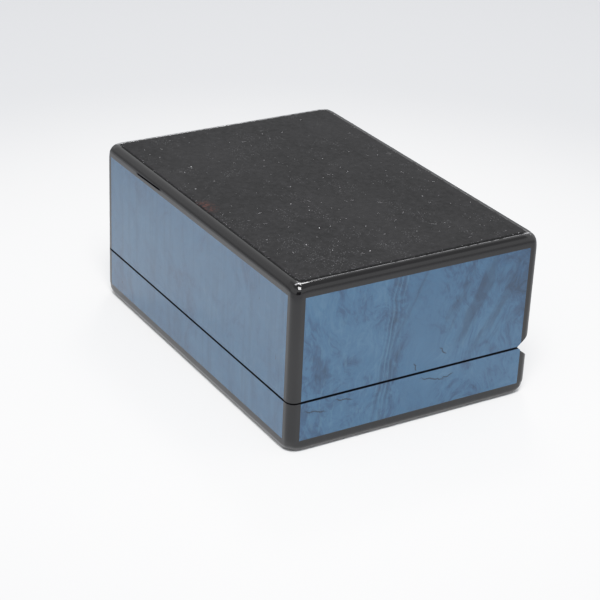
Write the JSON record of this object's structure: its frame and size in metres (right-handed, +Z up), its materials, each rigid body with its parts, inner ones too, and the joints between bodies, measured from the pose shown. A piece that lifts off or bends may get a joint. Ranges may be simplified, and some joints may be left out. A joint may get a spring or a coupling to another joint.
{
  "type": "jewelry gift box",
  "caption": "Lacquered wooden jewelry gift box with a hinged lid, veneered sides framed by rounded black edges, a felt underside and a padded inside with ring rolls.",
  "frame": {"origin": "middle of the lid's outer face, which is down: the box stands upside down on its lid", "axes": "+X along the long side, +Y from the front to the hinged rear side, +Z up, from the lid to the base's felt underside"},
  "size_m": [0.157, 0.11, 0.0697],
  "materials": {
    "black_lacquer": "polished black polyester lacquer on fibreboard",
    "blue_veneer": "blue dyed burl veneer under clear high-gloss lacquer",
    "black_felt": "matt black felt with lint",
    "suede": "short-napped microfibre suede on card",
    "satin": "padded cream satin",
    "brass": "satin brass",
    "steel_pin": "drawn steel"
  },
  "bodies": {
    "lid": {"lid_edge_frame": "black_lacquer", "lid_corner_front_left": "black_lacquer", "lid_corner_front_right": "black_lacquer", "lid_corner_rear_left": "black_lacquer", "lid_corner_rear_right": "black_lacquer", "lid_front_wall": "black_lacquer", "lid_rear_wall": "black_lacquer", "lid_left_wall": "black_lacquer", "lid_right_wall": "black_lacquer", "lid_top_board": "black_lacquer", "lid_front_veneer": "blue_veneer", "lid_rear_veneer": "blue_veneer", "lid_left_veneer": "blue_veneer", "lid_right_veneer": "blue_veneer", "lid_top_veneer": "blue_veneer", "lid_lining_front": "suede", "lid_lining_rear": "suede", "lid_lining_left": "suede", "lid_lining_right": "suede", "lid_satin_pad": "satin", "hinge_left_lid_leaf": "brass", "hinge_right_lid_leaf": "brass", "hinge_left_pin": "steel_pin", "hinge_right_pin": "steel_pin"},
    "base": {"base_edge_frame": "black_lacquer", "base_corner_front_left": "black_lacquer", "base_corner_front_right": "black_lacquer", "base_corner_rear_left": "black_lacquer", "base_corner_rear_right": "black_lacquer", "base_front_wall": "black_lacquer", "base_rear_wall": "black_lacquer", "base_left_wall": "black_lacquer", "base_right_wall": "black_lacquer", "base_bottom_board": "black_lacquer", "base_front_veneer": "blue_veneer", "base_rear_veneer": "blue_veneer", "base_left_veneer": "blue_veneer", "base_right_veneer": "blue_veneer", "underside_felt": "black_felt", "base_lining_front": "suede", "base_lining_rear": "suede", "base_lining_left": "suede", "base_lining_right": "suede", "base_floor_lining": "suede", "divider_long": "suede", "divider_short": "suede", "roll_platform": "suede", "ring_roll_1": "satin", "ring_roll_2": "satin", "ring_roll_3": "satin", "ring_roll_4": "satin", "bracelet_pillow": "satin", "hinge_left_base_leaf": "brass", "hinge_right_base_leaf": "brass"}
  },
  "joints": [
    {"name": "lid_hinge", "type": "hinge", "parent": "lid", "child": "base", "pos_m": [0, 0.05, 0.0215], "axis": [-1, 0, 0], "range_deg": [0, 95]}
  ]
}
